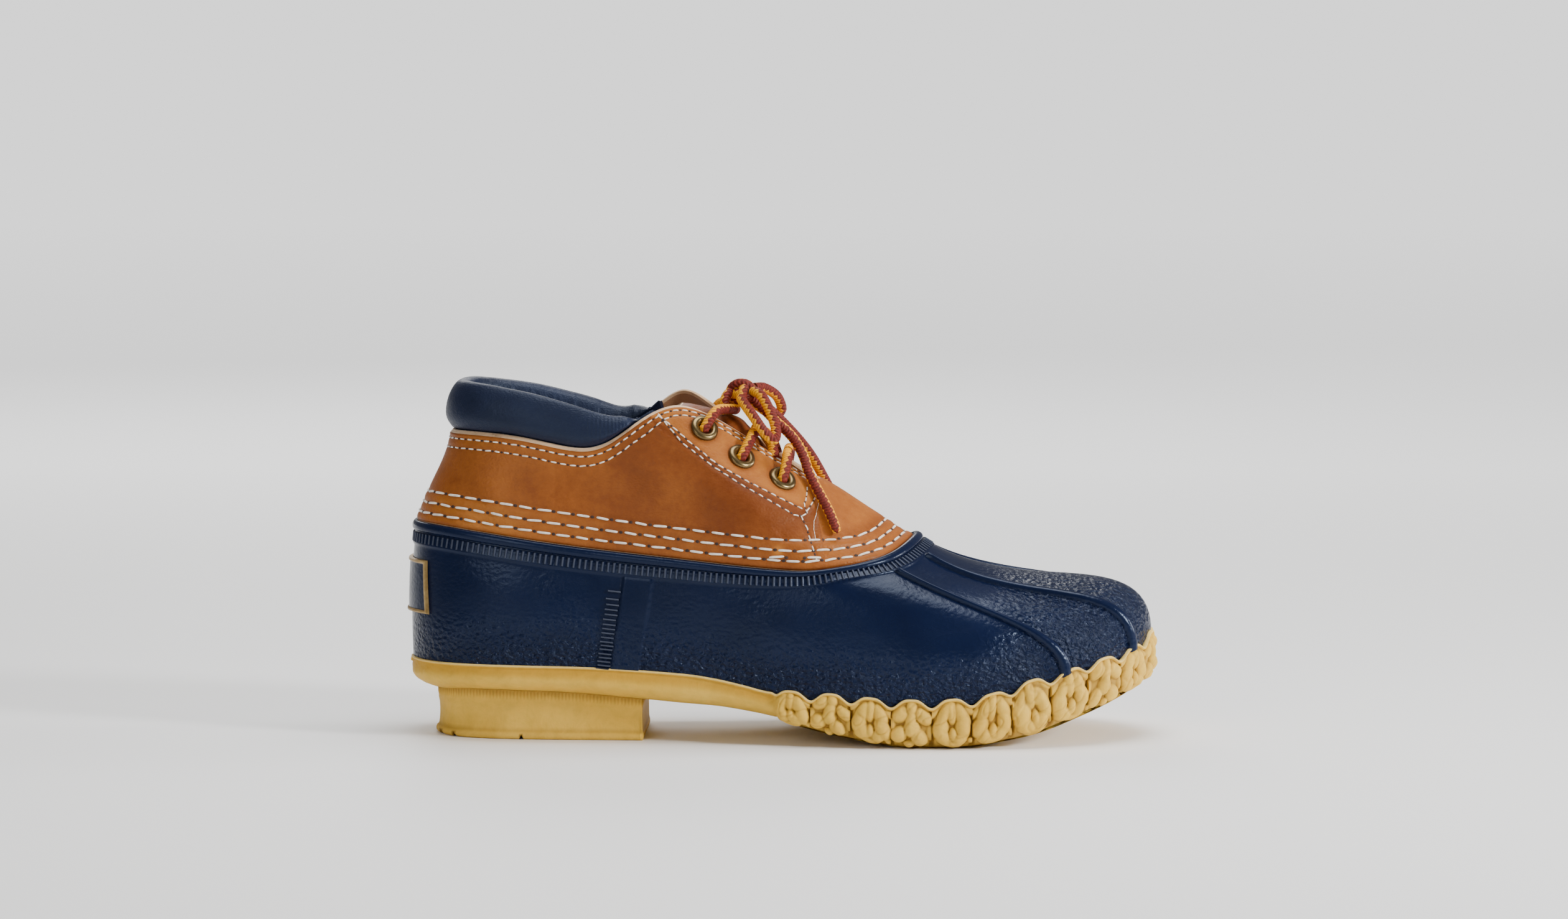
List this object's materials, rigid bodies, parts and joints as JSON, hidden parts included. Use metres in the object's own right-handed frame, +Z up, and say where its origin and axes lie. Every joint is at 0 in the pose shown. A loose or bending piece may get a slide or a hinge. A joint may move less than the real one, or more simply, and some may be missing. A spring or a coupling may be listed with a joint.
{
  "type": "duck boot",
  "caption": "Low duck boot for the right foot: moulded rubber bottom on a chain-lug outsole and heel block, leather upper with padded collar, tongue, eyelets and a tied lace.",
  "frame": {"origin": "on the floor, under the middle of the shoe's box", "axes": "+X to the toe, +Z up, the shoe's outer side at -Y"},
  "size_m": [0.302, 0.1052, 0.1425],
  "materials": {
    "tan_rubber": "satin moulded rubber",
    "navy_rubber": "glossy moulded rubber with an orange-peel skin",
    "tan_leather": "smooth oiled leather",
    "navy_leather": "soft satin leather over padding",
    "tongue_leather": "smooth leather with a fuzzy flesh side",
    "insole_felt": "plain felt",
    "label": "navy rubber plate with a painted gold frame",
    "brass": "antique brass",
    "lace": "two-colour braided cord"
  },
  "bodies": {
    "root": {"outsole": "tan_rubber", "heel": "tan_rubber", "rubber_shell": "navy_rubber", "leather_upper": "tan_leather", "collar": "navy_leather", "tongue": "tongue_leather", "insole": "insole_felt", "heel_label": "label", "eyelet_outer_1": "brass", "eyelet_outer_2": "brass", "eyelet_outer_3": "brass", "eyelet_inner_1": "brass", "eyelet_inner_2": "brass", "eyelet_inner_3": "brass", "lace_toe_bar": "lace", "lace_cross": "lace", "lace_top_bar": "lace", "lace_knot": "lace", "lace_loop_outer": "lace", "lace_loop_inner": "lace", "lace_end_outer": "lace", "lace_end_inner": "lace"}
  },
  "joints": []
}
